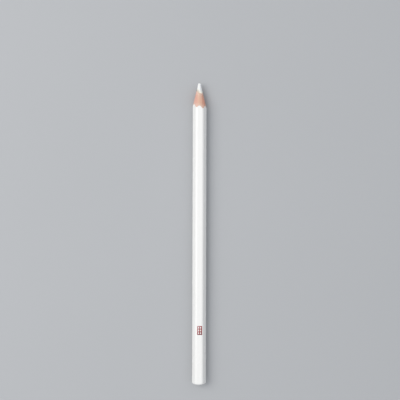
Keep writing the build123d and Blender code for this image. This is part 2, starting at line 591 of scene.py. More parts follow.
def cut_coat_material(name, tone):
    """The edge of a coat where the sharpener went through it."""
    mat = Mat(name)
    crumbs = mat.noise(scale=11.0, detail=3.0, rough=0.6)
    lines = mat.noise(stretch=(2.0, 16.0, 2.0))
    smear = mat.ramp(mat.noise(scale=2.3, detail=3.0, rough=0.6), over=(0.42, 0.70))
    color = mat.tint(tone, shade(tone, 0.82), crumbs, amount=0.30)
    color = mat.tint(color, (0.70, 0.55, 0.44), smear, amount=0.28)
    rough = mat.ramp(crumbs, over=(0.3, 0.7), to=(0.5, 0.75))
    normal = mat.bump((crumbs, 0.010), (lines, 0.006))
    return mat.finish(color=color, rough=rough, normal=normal, spec=0.35)


def wood_material(name, ring_angle, offset, tone, late_tone):
    """Growth rings run across the section at ring_angle; offset picks the piece of board."""
    mat = Mat(name)
    x, radius = mat.x_and_radius()
    board = mat.vec("ADD", mat.pos, offset)
    wander = mat.noise(board, stretch=(0.30, 0.035, 0.30))
    fine_wander = mat.noise(board, stretch=(1.1, 0.10, 1.1))
    across = (math.cos(ring_angle), 0.020, math.sin(ring_angle))
    phase = mat.add(mat.vec("DOT_PRODUCT", board, across), wander, times=1.7)
    phase = mat.add(phase, fine_wander, times=0.22)
    rings_per_mm = 1.18
    ring = mat.calc("FRACT", mat.mul(phase, rings_per_mm))
    # darkness across one ring: (part of the ring, darkness)
    late = mat.curve(
        ring, [(0.0, 0.55), (0.05, 0.12), (0.40, 0.0), (0.72, 0.22), (0.93, 0.95), (1.0, 0.60)]
    )
    fibre = mat.noise(board, detail=4.0, rough=0.62, stretch=(7.5, 0.16, 7.5))
    hair = mat.noise(board, detail=3.0, rough=0.6, stretch=(26.0, 0.75, 26.0))
    specks = mat.noise(board, detail=1.0, rough=0.4, stretch=(13.0, 0.55, 13.0))
    pores = mat.ramp(specks, over=(0.66, 0.76))
    flecks = mat.noise(board, detail=1.0, rough=0.4, stretch=(3.2, 1.4, 16.0))
    rays = mat.ramp(flecks, over=(0.66, 0.76))
    blotch = mat.noise(board, scale=0.22, detail=3.0, rough=0.55)
    # belt marks left round the point
    sand = mat.noise(detail=3.0, rough=0.6, stretch=(1.1, 15.0, 1.1))

    color = mat.tint(tone, late_tone, late, amount=0.75)
    mask = mat.ramp(fibre, over=(0.34, 0.72), to=(0.0, 0.42))
    color = mat.tint(color, shade(tone, (0.82, 0.76, 0.72)), mask)
    mask = mat.ramp(hair, over=(0.40, 0.75), to=(0.0, 0.25))
    color = mat.tint(color, shade(tone, 1.12), mask)
    color = mat.tint(color, shade(tone, (0.62, 0.53, 0.47)), pores, amount=0.55)
    color = mat.tint(color, shade(tone, (0.84, 0.78, 0.74)), rays, amount=0.22)
    mask = mat.ramp(blotch, over=(0.35, 0.70), to=(0.0, 0.22))
    color = mat.tint(color, shade(tone, (1.04, 0.92, 0.86)), mask)
    # the wood is lighter in the middle and pinker towards -X; towards +X it is darkened and
    # reddened, painted shade with painted red reflected light
    drift = mat.add(x, mat.sub(wander, 0.5), times=1.6)
    right = mat.ramp(drift, over=(0.3, 2.3))
    left = mat.ramp(drift, over=(-0.5, -2.0))
    # painted shade with painted red reflected light towards +X
    color = mat.tint(color, (0.99, 0.73, 0.71), right, amount=0.80, kind="MULTIPLY")
    color = mat.tint(color, (1.04, 0.90, 0.98), left, amount=0.80, kind="MULTIPLY")
    # white dust from the core, dragged a little way down the wood
    near = mat.ramp(radius, over=(1.80, 2.75), to=(1.0, 0.0))
    drag = mat.noise(detail=4.0, rough=0.65, stretch=(3.0, 0.55, 3.0))
    dust = mat.mul(near, mat.ramp(drag, over=(0.38, 0.70)))
    close = mat.ramp(radius, over=(1.84, 2.02), to=(0.45, 0.0))
    dust = mat.calc("MAXIMUM", dust, close)
    color = mat.tint(color, (0.86, 0.80, 0.70), dust, amount=0.55)
    # paint dust by the lacquer
    far = mat.ramp(radius, over=(3.20, 3.72), to=(0.0, 0.52))
    paint = mat.mul(far, mat.ramp(sand, over=(0.36, 0.66)))
    color = mat.tint(color, (0.85, 0.79, 0.72), paint)

    rough = mat.add(0.60, hair, times=0.16)
    rough = mat.add(rough, dust, times=0.15)
    rough = mat.sub(rough, late, times=0.10)
    normal = mat.bump(
        (mat.sub(fibre, late, times=-0.5), 0.016),
        (hair, 0.007),
        (mat.inverse(pores), 0.014),
        (sand, 0.006),
    )
    return mat.finish(
        color=color, rough=rough, normal=normal, spec=0.28, sheen=0.08, sheen_rough=0.5
    )


def core_material(name):
    mat = Mat(name)
    x, radius = mat.x_and_radius()
    grit = mat.noise(scale=9.0, detail=4.0, rough=0.65)
    fine = mat.noise(scale=34.0, rough=0.6)
    pits = mat.spots(scale=3.6, over=(0.10, 0.22))
    lines = mat.noise(detail=3.0, rough=0.6, stretch=(1.6, 13.0, 1.6))
    scuff = mat.ramp(mat.noise(detail=4.0, rough=0.6, stretch=(1.6, 0.8, 1.6)), over=(0.50, 0.72))
    near_wood = mat.ramp(mat.add(radius, scuff, times=0.12), over=(1.22, 1.80))
    mask = mat.ramp(grit, over=(0.30, 0.72))
    color = mat.tint((0.888, 0.896, 0.900), (0.810, 0.810, 0.792), mask)
    color = mat.tint(color, (0.90, 0.912, 0.915), fine, amount=0.18)
    color = mat.tint(color, (0.70, 0.69, 0.67), scuff, amount=0.22)
    color = mat.tint(color, (0.62, 0.59, 0.54), pits, amount=0.40)
    color = mat.tint(color, (0.925, 0.845, 0.705), near_wood, amount=0.72)
    # a ragged band near the wood: painted light, a cream lightening of the shaded +X side; a darker
    # grey-brown band, strongest towards -X; a reddish-brown rim far towards +X
    ragged = mat.noise(detail=4.0, rough=0.65, stretch=(5.0, 0.8, 5.0))
    ragged_radius = mat.add(radius, mat.sub(ragged, 0.5), times=0.55)
    # painted light: cream lightening of the core's shaded +X side near the wood
    painted_light_plus_x = mat.ramp(ragged_radius, over=(1.42, 1.60))
    painted_light_plus_x = mat.mul(painted_light_plus_x, mat.ramp(x, over=(0.15, 0.65)))
    color = mat.tint(color, (0.975, 0.935, 0.830), painted_light_plus_x, amount=0.90)
    dark_band = mat.ramp(ragged_radius, over=(1.36, 1.60))
    dark_band = mat.mul(dark_band, mat.ramp(x, over=(0.10, -1.05), to=(0.22, 1.0)))
    dark_band = mat.mul(dark_band, mat.ramp(x, over=(0.50, -0.10)))
    color = mat.tint(color, (0.560, 0.492, 0.402), dark_band, amount=0.78)
    rim = mat.ramp(ragged_radius, over=(1.50, 1.74))
    rim = mat.mul(rim, mat.ramp(x, over=(1.15, 1.55)))
    color = mat.tint(color, (0.60, 0.42, 0.35), rim, amount=0.70)
    normal = mat.bump((grit, 0.020), (fine, 0.008), (mat.inverse(pits), 0.015), (lines, 0.008))
    rough = mat.ramp(grit, over=(0.3, 0.7), to=(0.80, 0.95))
    # a waxy, faintly translucent body
    mat.shader.inputs["Subsurface Radius"].default_value = (1.0, 0.92, 0.80)
    mat.shader.inputs["Subsurface Scale"].default_value = 0.0006
    return mat.finish(
        color=color, rough=rough, normal=normal, spec=0.2, sheen=0.15, sheen_rough=0.6, sss=0.35
    )


def glue_material(name):
    mat = Mat(name)
    body = mat.noise(scale=2.2, detail=3.0, rough=0.6)
    bubbles = mat.spots(scale=5.0, over=(0.12, 0.25))
    fibres = mat.noise(detail=3.0, rough=0.6, stretch=(9.0, 0.4, 9.0))
    x, radius = mat.x_and_radius()
    color = mat.tint((0.66, 0.49, 0.31), (0.74, 0.60, 0.43), body)
    color = mat.tint(color, (0.64, 0.43, 0.31), fibres, amount=0.35)
    color = mat.tint(color, (0.48, 0.33, 0.20), bubbles, amount=0.35)
    # chalk smeared over it as the core was ground
    smear = mat.noise(detail=4.0, rough=0.65, stretch=(3.4, 1.4, 3.4))
    smear = mat.ramp(smear, over=(0.36, 0.60))
    smear = mat.mul(smear, mat.ramp(radius, over=(1.84, 2.6), to=(0.92, 0.0)))
    color = mat.tint(color, (0.85, 0.80, 0.71), smear)
    normal = mat.bump((body, 0.006), (mat.inverse(bubbles), 0.006))
    rough = mat.ramp(body, over=(0.3, 0.7), to=(0.38, 0.60))
    return mat.finish(color=color, rough=rough, normal=normal, spec=0.45)


def primer_material(name):
    mat = Mat(name)
    chalk = mat.noise(scale=6.0, detail=4.0, rough=0.6)
    streak = mat.noise(detail=3.0, rough=0.6, stretch=(5.0, 0.12, 5.0))
    brush = mat.noise(rough=0.6, stretch=(2.0, 9.0, 2.0))
    color = mat.tint((0.80, 0.765, 0.69), (0.74, 0.69, 0.60), chalk)
    color = mat.tint(color, (0.70, 0.62, 0.52), streak, amount=0.35)
    normal = mat.bump((chalk, 0.008), (streak, 0.006), (brush, 0.004))
    rough = mat.ramp(chalk, over=(0.3, 0.7), to=(0.62, 0.82))
    return mat.finish(color=color, rough=rough, normal=normal, spec=0.3)


def foil_material(name):
    mat = Mat(name)
    x, y, z = mat.xyz()
    grain = mat.noise(scale=13.0, detail=3.0, rough=0.6)
    cloud = mat.noise(scale=1.3, detail=3.0, rough=0.6)
    rubbed = mat.noise(detail=4.0, rough=0.7, stretch=(11.0, 4.2, 11.0))
    specks = mat.noise(scale=21.0, rough=0.6)
    # place on the patch, -1 to 1 each way, and how near its edge that is
    across = mat.calc("DIVIDE", mat.sub(x, mark_x), mark_half_x)
    up = mat.calc("DIVIDE", mat.sub(y, mark_y), mark_half_y)
    edge_x = mat.mul(mat.inverse(mat.calc("ABSOLUTE", across)), mark_half_x)
    edge_y = mat.mul(mat.inverse(mat.calc("ABSOLUTE", up)), mark_half_y)
    edge = mat.ramp(mat.calc("MINIMUM", edge_x, edge_y), over=(0.0, 0.22), to=(1.0, 0.0))
    # the foil is lighter towards -X and +Y, with lighter specks there
    light = mat.sub(mat.mul(up, 0.55), across, times=0.80)
    light = mat.add(light, mat.sub(cloud, 0.5), times=1.1)
    light = mat.ramp(light, over=(-0.55, 1.25))
    worn = mat.ramp(mat.add(rubbed, edge, times=0.05), over=(0.66, 0.76))
    lighter_specks = mat.ramp(mat.add(specks, light, times=0.22), over=(0.60, 0.70))
    # and darker towards +X and -Y, and darkest along the -Y edge
    darker_side = mat.sub(mat.mul(across, 0.60), up, times=0.70)
    darker_side = mat.add(darker_side, mat.sub(cloud, 0.5), times=0.5)
    darker_side = mat.ramp(darker_side, over=(-0.05, 0.75))
    darker_edge = mat.ramp(up, over=(-0.74, -0.90))
    color = mat.tint((0.34, 0.022, 0.026), (0.25, 0.013, 0.018), cloud)
    color = mat.tint(color, (0.42, 0.045, 0.045), grain, amount=0.35)
    color = mat.tint(color, (0.56, 0.40, 0.40), light, amount=0.22)
    color = mat.tint(color, (0.78, 0.68, 0.67), lighter_specks, amount=0.34)
    color = mat.tint(color, (0.215, 0.012, 0.013), darker_side, amount=0.75)
    color = mat.tint(color, (0.115, 0.030, 0.030), darker_edge, amount=0.55)
    color = mat.tint(color, (0.82, 0.74, 0.72), worn, amount=0.75)
    normal = mat.bump((grain, 0.0025), (mat.inverse(worn), 0.006))
    rough = mat.ramp(cloud, over=(0.3, 0.7), to=(0.26, 0.40))
    rough = mat.add(rough, worn, times=0.2)
    return mat.finish(color=color, rough=rough, normal=normal, spec=0.5)


def floor_material():
    mat = Mat("studio_floor")
    soft = mat.noise(scale=0.012, detail=3.0)
    tooth = mat.noise(scale=0.9, detail=3.0, rough=0.6)
    color = mat.tint((0.455, 0.464, 0.478), (0.434, 0.444, 0.457), soft, amount=0.6)
    color = mat.tint(color, (0.425, 0.434, 0.450), tooth, amount=0.10)
    return mat.finish(color=color, rough=0.85, normal=mat.bump((tooth, 0.010)), spec=0.15)


barrel_white = lacquer_material(
    "white_lacquer", tone=(0.880, 0.872, 0.855), gloss=0.20,
    peel_scale=1.35, peel_depth=0.010, grain_depth=0.0035,
)
barrel_cut = cut_coat_material("white_lacquer_cut", tone=(0.86, 0.845, 0.815))
dip_white = lacquer_material(
    "dip_lacquer", tone=(0.875, 0.870, 0.855), gloss=0.16,
    peel_scale=0.9, peel_depth=0.016, grain_depth=0.001,
)
primer_mat = primer_material("primer")
primer_cut = cut_coat_material("primer_cut", tone=(0.79, 0.745, 0.665))
upper_wood = wood_material(
    "casing_wood_top", ring_angle=0.42, offset=(3.1, 7.0, 1.7),
    tone=(0.735, 0.482, 0.366), late_tone=(0.540, 0.305, 0.208),
)
lower_wood = wood_material(
    "casing_wood_bottom", ring_angle=1.25, offset=(11.4, 41.0, 6.2),
    tone=(0.720, 0.468, 0.355), late_tone=(0.530, 0.300, 0.204),
)
core_mat = core_material("chalk_core")
glue_mat = glue_material("slat_glue")
foil_mat = foil_material("red_foil")

# ---------------------------------------------------------------------------
# Relief of the surfaces, and how ragged the coats are at the cut
# ---------------------------------------------------------------------------


def primer_setback():
    base = 0.11 + 0.07 * round_noise(THETA, 3.0, seed=21) + 0.05 * round_noise(THETA, 13.0, seed=22)
    nick = np.clip(round_noise(THETA, 8.0, seed=23, octaves=1) - 0.52, 0, 1) * 0.55
    return np.maximum(base, 0.02) + nick


def lacquer_setback():
    chips = np.abs(round_noise(THETA, 11.0, seed=31))
    base = 0.05 + 0.05 * chips + 0.05 * round_noise(THETA, 3.5, seed=32)
    nick = np.clip(round_noise(THETA, 7.0, seed=33, octaves=1) - 0.50, 0, 1) * 0.75
    return np.maximum(base, 0.01) + nick


def lacquer_wave(along):
    broad = 0.007 * round_noise(THETA, 1.3, seed=51, along=along * 0.045)
    return broad + 0.0025 * round_noise(THETA, 5, seed=52, along=along * 0.02)


def point_relief(along, theta):
    """Low flats and chatter the sharpener left, shared by all the layers it cut."""
    flats = 0.014 * round_noise(theta, 1.6, seed=41, along=along * 0.16)
    return flats + 0.004 * round_noise(theta, 7, seed=42, along=along * 0.5)


def wood_relief(along, theta, seed):
    streaks = round_noise(theta, 9, seed, along=along * 0.10)
    torn = np.clip(round_noise(theta, 22, seed + 1, along=along * 0.9) - 0.35, 0, 1)
    return 0.010 * streaks - 0.030 * torn


# ---------------------------------------------------------------------------
# Lacquer and undercoat
# ---------------------------------------------------------------------------


def build_lacquer():
    outer, inner = hex_radius(THETA, half_flats), hex_radius(THETA, half_primer)
    setback = lacquer_setback()
    cut_outer = cone_at(outer, THETA) - setback
    undercut = 0.35 * np.clip(setback - 0.16, 0, 1)
    ragged = 0.02 * (1 + round_noise(THETA, 9.0, seed=61))
    cut_inner = cone_at(inner, THETA) - 0.02 - ragged - undercut

    outside = lerp_rows(wood_end(outer), COAT_FINE_FROM, 112, with_end=False)
    outside += lerp_rows(COAT_FINE_FROM, cut_outer, 52, power=0.72)
    rows = [(along, outer + lacquer_wave(along)) for along in outside]
    # the cut edge, a little concave where paint has broken away
    cut_steps = 8
    hollow = np.clip(setback * 6, 0, 1.5)
    for i in range(1, cut_steps + 1):
        t = i / cut_steps
        bulge = math.sin(PI * t)
        slope = lerp(outer + lacquer_wave(cut_outer), inner, t)
        crumble = 0.006 * round_noise(THETA, 30, seed=62, along=t * 3.0) * bulge
        rows.append((lerp(cut_outer, cut_inner, t), slope + crumble - 0.010 * bulge * hollow))
    rows += [(along, inner) for along in lerp_rows(cut_inner, wood_end(inner), 12)[1:]]
    coat_piece(
        "lacquer_skin", "lacquer_coat", rows, len(outside), cut_steps,
        [barrel_white, barrel_cut],
    )


def build_primer():
    primer_out, inner = hex_radius(THETA, half_primer), hex_radius(THETA, half_wood)
    outer = primer_out - PRIMER_INSET
    cut_inner = cone_at(inner, THETA) - primer_setback()
    cut_outer = np.minimum(cone_at(primer_out, THETA) - 0.005, cut_inner - 0.02)

    outside = lerp_rows(wood_end(primer_out), COAT_FINE_FROM, 12, with_end=False)
    outside += lerp_rows(COAT_FINE_FROM, cut_outer, 16, power=0.6)
    rows = [(along, outer) for along in outside]
    cut_steps = 5
    for i in range(1, cut_steps + 1):
        t = i / cut_steps
        crumble = 0.004 * round_noise(THETA, 34, seed=63, along=t * 3.0) * math.sin(PI * t)
        rows.append((lerp(cut_outer, cut_inner, t), lerp(outer, inner, t) + crumble))
    rows += [(along, inner) for along in lerp_rows(cut_inner, wood_end(inner), 10)[1:]]
    coat_piece(
        "undercoat", "primer_coat", rows, len(outside), cut_steps,
        [primer_mat, primer_cut],
    )


# ---------------------------------------------------------------------------
# Wood halves and glue
# ---------------------------------------------------------------------------


def build_wood(name, node, side, mat, seed):
    theta = side * HALF
    outer = hex_radius(theta, half_wood)
    rows = [
        (along, outer)
        for along in lerp_rows(wood_end(outer), WOOD_FINE_FROM, 12, with_end=False)
    ]
    for along in lerp_rows(WOOD_FINE_FROM, cone_at(outer, theta), 26, power=0.6):
        grain = 0.003 * round_noise(theta, 12, seed + 5, along=along * 0.3)
        rows.append((along, outer + grain * smooth(along, WOOD_FINE_FROM, WOOD_FINE_FROM + 1)))
    # the sharpened face, from the barrel in to the groove
    cut_steps = 170
    for i in range(1, cut_steps + 1):
        t = i / cut_steps
        out = lerp(outer, GROOVE_R, t)
        along = cone_at(out, theta)
        fade = smooth(t, 0.0, 0.012) * (1 - 0.5 * smooth(t, 0.985, 1.0))
        relief = point_relief(along, theta) + wood_relief(along, theta, seed)
        rows.append((along, out + relief * fade))
    cut_end = rows[-1][0]
    rows[-1] = (cut_end, GROOVE_R)
    rows += [(along, GROOVE_R) for along in lerp_rows(cut_end, wood_end(GROOVE_R), 10)[1:]]
    half_piece(name, node, mat, rows, seam_half, side)


def build_bond(name, node, side):
    """Half of the sleeve of glue between the core and its groove."""
    theta = side * HALF
    cut_outer = cone_at(GROOVE_R, theta, core_apex)
    cut_inner = cone_at(CORE_R, theta, core_apex)
    rows = [(along, GROOVE_R) for along in lerp_rows(wood_end(GROOVE_R), cut_outer, 14)]
    cut_steps = 5
    for i in range(1, cut_steps + 1):
        t = i / cut_steps
        out = lerp(GROOVE_R, CORE_R, t)
        along = cone_at(out, theta, core_apex)
        lumps = 0.006 * round_noise(theta, 15, seed=71, along=along) * math.sin(PI * t)
        rows.append((along, out + lumps))
    rows += [(along, CORE_R) for along in lerp_rows(cut_inner, wood_end(CORE_R), 10)[1:]]
    half_piece(name, node, glue_mat, rows, 0.0, side)


def build_seam(name, node, middle):
    """A strip of glue between the wood halves, round the angle middle."""
    outer = float(hex_radius(middle, half_wood))
    cut_outer, cut_inner = float(cone_at(outer, middle)), float(cone_at(GROOVE_R, middle))
    rows = [(along, outer) for along in lerp_rows(float(wood_end(outer)), cut_outer, 20)]
    for t in np.linspace(0, 1, 90)[1:]:
        out = lerp(outer, GROOVE_R, t)
        along = float(cone_at(out, middle))
        lumps = 0.006 * float(layered_noise(along * 1.3, 0, 0, octaves=2, seed=81))
        relief = float(point_relief(along, middle))
        rows.append((along, out + relief + lumps * math.sin(PI * t)))
    rows[-1] = (rows[-1][0], GROOVE_R)
    rows += [(along, GROOVE_R) for along in lerp_rows(cut_inner, wood_end(GROOVE_R), 12)[1:]]

    height = np.array([-1.0, -0.4, 0.4, 1.0])  # columns, in half heights of the seam
    along, out = split_rows(rows, height)
    facing = 1.0 if middle == 0.0 else -1.0
    theta = middle + facing * np.arcsin(np.clip(height[None, :] * seam_half / out, -1, 1))
    section_piece(name, node, glue_mat, along, out, theta)


# ---------------------------------------------------------------------------
# Marking core
# ---------------------------------------------------------------------------


def soft_min(first, second, blend):
    """The lower of two values, rounded where they cross."""
    share = np.clip(0.5 + 0.5 * (second - first) / blend, 0, 1)
    return second * (1 - share) + first * share - blend * share * (1 - share)


def ground_tip(rho):
    """How far along the ground end of the core is, at a distance from the cone's axis."""
    nose_dome = dome_radius(NOSE_R, NOSE_RISE)
    worn_at = core_apex - WORN_R / CONE_TAN
    worn_slope = (length - NOSE_RISE - worn_at) / (WORN_R - NOSE_R)
    cone = core_apex - rho / CONE_TAN
    side = -soft_min(-(worn_at + (WORN_R - rho) * worn_slope), -cone, blend=0.80)
    inside_dome = np.minimum(rho, nose_dome * 0.999)
    nose = length - nose_dome + np.sqrt(np.maximum(nose_dome**2 - inside_dome**2, 0))
    return soft_min(nose, side, blend=0.50)


def build_core():
    columns = 224
    turn = np.linspace(0, 2 * PI, columns, endpoint=False)  # round the cone's own axis
    toward = CONE_X * np.cos(turn) + CONE_Z * np.sin(turn)
    rim = -toward + np.sqrt(
        np.maximum(CORE_R**2 - (CONE_X**2 + CONE_Z**2) + toward**2, 0)
    )
    # ring radii round the cone's axis: nose, shoulder, then out to the core's side
    first_r, nose_to, shoulder_to = 0.018, 0.66, 1.06
    radii = [np.full(columns, r) for r in np.linspace(first_r, nose_to, 20, endpoint=False)]
    radii += [np.full(columns, r) for r in np.linspace(nose_to, shoulder_to, 44, endpoint=False)]
    radii += lerp_rows(shoulder_to, rim, 105)

    rings = []
    for rho in radii:
        along = ground_tip(rho)
        x = CONE_X + rho * np.cos(turn)
        z = CONE_Z + rho * np.sin(turn)
        grain = (
            0.016 * layered_noise(x * 3.2, z * 3.2, along * 3.2, octaves=3, seed=91)
            + 0.008 * layered_noise(x * 11, z * 11, along * 11, octaves=2, seed=92)
            + 0.020 * layered_noise(x * 0.9, z * 0.9, along * 0.7, octaves=2, seed=93)
        )
        keep = smooth(rim - rho, 0.0, 0.06)
        ridge = 0.060 * np.exp(-(((turn - 0.55) / 0.36) ** 2)) * smooth(rho, 1.30, 1.60)
        relief = point_relief(along, np.arctan2(z, x))
        raised = (grain + ridge + relief) * keep - 0.010 * keep
        # relief pushes sideways on the cone, mostly forwards on the nose
        nose = smooth(-rho, -0.86, -0.62)
        push_x, push_z = np.cos(turn) * (1 - 0.8 * nose), np.sin(turn) * (1 - 0.8 * nose)
        rings.append(
            np.stack(
                [
                    x + raised * push_x,
                    butt_y + along + raised * nose,
                    axis_z + z + raised * push_z,
                ],
                -1,
            )
        )
    # down the inside of the wood to the blunt end, then in to the middle
    for place in lerp_rows(along, float(wood_end(CORE_R)), 30)[1:]:
        rings.append(np.stack([x, butt_y + place, axis_z + z], -1))
    for k in (0.75, 0.5, 0.25):
        end_y = np.full(columns, butt_y + float(wood_end(CORE_R * k)))
        rings.append(np.stack([x * k, end_y, axis_z + z * k], -1))
    tip = np.array([[CONE_X, butt_y + length, axis_z + CONE_Z]])
    tail = np.array([[0.0, butt_y + WOOD_START, axis_z]])
    poled_piece(
        "chalk_core", "marking_core", core_mat, np.array(rings), tip, tail,
        sharp_deg=50,
    )


# ---------------------------------------------------------------------------
# End dip
# ---------------------------------------------------------------------------

LIP_BEAD = 0.022  # extra thickness at the lip
LIP_ROLL = 0.16  # length of the rolled lip
LIP_FADE = 1.5  # where the bead has died away, from the lip
EDGE_IN, EDGE_BACK = 0.62, 0.55  # rounding between the wall and the end
MIDDLE_R = 0.03  # innermost ring


def dip_top(out):
    """The domed blunt end of the dip, with a low nib in the middle."""
    dome = dome_radius(half_corners + dip_proud, DIP_RISE)
    nib = 0.05 * np.exp(-((out / 0.55) ** 2)) + 0.015 * np.exp(-((out / 1.6) ** 2))
    return dome - np.sqrt(np.maximum(dome**2 - out**2, 0)) - nib


def build_dip():
    inner = hex_radius(THETA, half_flats)
    lip = (
        dip_len
        + 0.10 * round_noise(THETA, 1.2, seed=101)
        + 0.05 * round_noise(THETA, 4.0, seed=102)
        - 0.06
    )
    lip = np.minimum(lip, dip_len + 0.12)
    skin = dip_proud - 0.012 * np.cos(6 * THETA)  # fuller on the flats than over the corners
    wall = inner + skin

    rows = []
    for i in range(11):  # the rolled lip
        angle = (PI / 2) * i / 10
        out = inner + (skin + LIP_BEAD) * math.sin(angle)
        rows.append((lip - LIP_ROLL * (1 - math.cos(angle)), out))
    for i in range(1, 15):  # the bead dies away
        t = i / 14
        out = inner + skin + LIP_BEAD * (1 - smooth(t, 0.0, 1.0))
        rows.append((lerp(lip - LIP_ROLL, lip - LIP_FADE, t), out))
    edge_out = wall - EDGE_IN
    corner_at = dip_top(wall)
    wall_end = corner_at + EDGE_BACK
    for i in range(1, 7):  # the wall
        t = i / 6
        wave = 0.004 * round_noise(THETA, 2, seed=103, along=t) * math.sin(PI * t)
        rows.append((lerp(lip - LIP_FADE, wall_end, t), wall + wave))
    for i in range(1, 15):  # the rounded edge, a quadratic curve
        t = i / 14
        start, middle, end = (1 - t) ** 2, 2 * t * (1 - t), t**2
        along = start * wall_end + middle * (corner_at + 0.04) + end * dip_top(edge_out)
        rows.append((along, start * wall + middle * wall + end * edge_out))
    for i in range(1, 27):  # the domed end
        out = lerp(edge_out, MIDDLE_R, i / 27)
        x, z = out * np.cos(THETA) * 0.9, out * np.sin(THETA) * 0.9
        wave = 0.006 * layered_noise(x, z, 3.3, octaves=2, seed=104) * smooth(out, 0, 0.5)
        rows.append((dip_top(out) + wave, out))
    outside = points(*split_rows(rows, THETA), THETA[None, :])

    # the inside, seated on the barrel's end; from the lip to the middle
    rows = [(along, inner) for along in lerp_rows(lip, wood_end(inner), 8)[1:]]
    rows += [(wood_end(out), out) for out in lerp_rows(inner, MIDDLE_R, 10)[1:-1]]
    seat = points(*split_rows(rows, THETA), THETA[None, :])
    outer_pole = np.array([[0.0, butt_y + float(dip_top(np.array(0.0))), axis_z]])
    inner_pole = np.array([[0.0, butt_y + WOOD_START, axis_z]])
    poled_piece(
        "end_dip_cap", "end_dip", dip_white,
        np.concatenate([outside[::-1], seat], 0), outer_pole, inner_pole, sharp_deg=60,
    )


# ---------------------------------------------------------------------------
# Foil patch: a rounded rectangle with two columns of three slots left open
# ---------------------------------------------------------------------------

PATCH_ROUNDING, PATCH_STEP = 0.35, 0.06
SLOT_HALF_X, SLOT_HALF_Y = 0.27, 0.57
SLOT_ROUNDING, SLOT_STEP = 0.26, 0.045
SLOT_PITCH_X, SLOT_PITCH_Y = 1.16, 1.56
PATCH_WOBBLE, SLOT_WOBBLE = 0.020, 0.018
FILL_STEP = 0.11  # pitch of the points inside the foil
FILL_CLEAR = 0.045  # least distance of those from an outline
FOIL_SUNK = 0.004  # underside, below the lacquer's surface


def upper_surface(x):
    """Height of the lacquer over the axis, on the upper flat and the corners beside it."""
    past_flat = np.abs(x) - flat_half_width
    arc = half_flats - corner_r + np.sqrt(np.maximum(corner_r**2 - past_flat**2, 0))
    return np.where(np.abs(x) <= flat_half_width, half_flats, arc)


def rounded_rect(centre_x, centre_y, half_x, half_y, rounding, step):
    """Outline points about a step apart, anticlockwise from the +X side."""
    signs = ((1, 1), (-1, 1), (-1, -1), (1, -1))
    corners = [
        (
            centre_x + sx * half_x - sx * rounding,
            centre_y + sy * half_y - sy * rounding,
            90 * i,
        )
        for i, (sx, sy) in enumerate(signs)
    ]
    arc_steps = max(4, int(rounding * PI / 2 / step))
    outline = []
    for i, (x, y, first_deg) in enumerate(corners):
        for k in range(arc_steps + 1):
            angle = math.radians(first_deg + 90 * k / arc_steps)
            outline.append((x + rounding * math.cos(angle), y + rounding * math.sin(angle)))
        next_x, next_y, next_deg = corners[(i + 1) % 4]
        angle = math.radians(next_deg)
        end = (next_x + rounding * math.cos(angle), next_y + rounding * math.sin(angle))
        start = outline[-1]
        side_steps = int(math.hypot(end[0] - start[0], end[1] - start[1]) / step)
        for k in range(1, side_steps):
            t = k / side_steps
            outline.append((lerp(start[0], end[0], t), lerp(start[1], end[1], t)))
    return np.array(outline)


def inside(outline, x, y):
    hit = False
    j = len(outline) - 1
    for i in range(len(outline)):
        xi, yi = outline[i]
        xj, yj = outline[j]
        if (yi > y) != (yj > y) and x < (xj - xi) * (y - yi) / (yj - yi) + xi:
            hit = not hit
        j = i
    return hit


def foil_outlines():
    """The patch's outline, then the six slots', each a little uneven."""
    outlines = [
        rounded_rect(mark_x, mark_y, mark_half_x, mark_half_y, PATCH_ROUNDING, PATCH_STEP)
    ]
    for i in (-1, 1):
        for k in (-1, 0, 1):
            x, y = mark_x + i * SLOT_PITCH_X / 2, mark_y + k * SLOT_PITCH_Y
            outlines.append(
                rounded_rect(x, y, SLOT_HALF_X, SLOT_HALF_Y, SLOT_ROUNDING, SLOT_STEP)
            )
    uneven = []
    for i, outline in enumerate(outlines):
        wobble = PATCH_WOBBLE if i == 0 else SLOT_WOBBLE
        x, y = outline[:, 0] * 4.5, outline[:, 1] * 4.5
        dx = wobble * layered_noise(x, y, 1.7, octaves=3, seed=111)
        dy = wobble * layered_noise(x, y, 9.1, octaves=3, seed=112)
        uneven.append(outline + np.stack([dx, dy], -1))
    return uneven


def foil_triangles():
    """Flat points and triangles of the foil between its outlines."""
    outlines = foil_outlines()

    def in_foil(x, y):
        return inside(outlines[0], x, y) and not any(inside(o, x, y) for o in outlines[1:])

    flat, edges = [], []
    for outline in outlines:
        first, count = len(flat), len(outline)
        flat += [Vector((float(x), float(y))) for x, y in outline]
        edges += [(first + k, first + (k + 1) % count) for k in range(count)]
    fill_x = np.arange(mark_x - mark_half_x + 0.07, mark_x + mark_half_x - 0.05, FILL_STEP)
    fill_y = np.arange(mark_y - mark_half_y + 0.07, mark_y + mark_half_y - 0.05, FILL_STEP)
    for i, x in enumerate(fill_x):
        for row_y in fill_y:
            y = row_y + (FILL_STEP / 2 if i % 2 else 0.0)
            near = min(float(np.min((o[:, 0] - x) ** 2 + (o[:, 1] - y) ** 2)) for o in outlines)
            if near > FILL_CLEAR**2 and in_foil(x, y):
                flat.append(Vector((float(x), float(y))))
    verts, _, faces = delaunay_2d_cdt(flat, edges, [], 0, 1e-5)[:3]
    kept = []
    for face in faces:
        x = sum(verts[k][0] for k in face) / len(face)
        y = sum(verts[k][1] for k in face) / len(face)
        if in_foil(x, y):
            kept.append(face)
    used = sorted({k for face in kept for k in face})
    index = {k: i for i, k in enumerate(used)}
    flat_points = np.array([(verts[k][0], verts[k][1]) for k in used])
    return flat_points, [tuple(index[k] for k in face) for face in kept]


